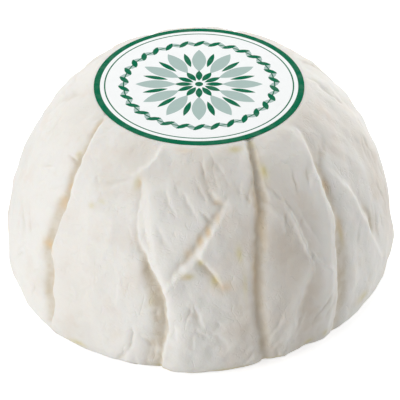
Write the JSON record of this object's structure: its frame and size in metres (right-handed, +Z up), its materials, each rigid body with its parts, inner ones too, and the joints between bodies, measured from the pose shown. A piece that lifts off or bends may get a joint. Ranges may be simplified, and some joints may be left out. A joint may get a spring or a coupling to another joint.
{
  "type": "sheep milk cheese",
  "caption": "Whole domed soft sheep milk cheese with a white bloomy rind, pressed cloth folds round its side, a flat foot and a round paper label on its flat crown.",
  "frame": {"origin": "centre of the foot, on the surface the cheese stands on", "axes": "+Z up along the axis of the dome, the front of the cheese and of its label faces -Y"},
  "size_m": [0.1305, 0.1315, 0.0698],
  "materials": {
    "rind": "matt white bloomy rind with warm tints in the folds",
    "label_paper": "smooth coated white paper with a green ring and a grey-green print"
  },
  "bodies": {
    "root": {"cheese": "rind", "label": "label_paper"}
  },
  "joints": []
}
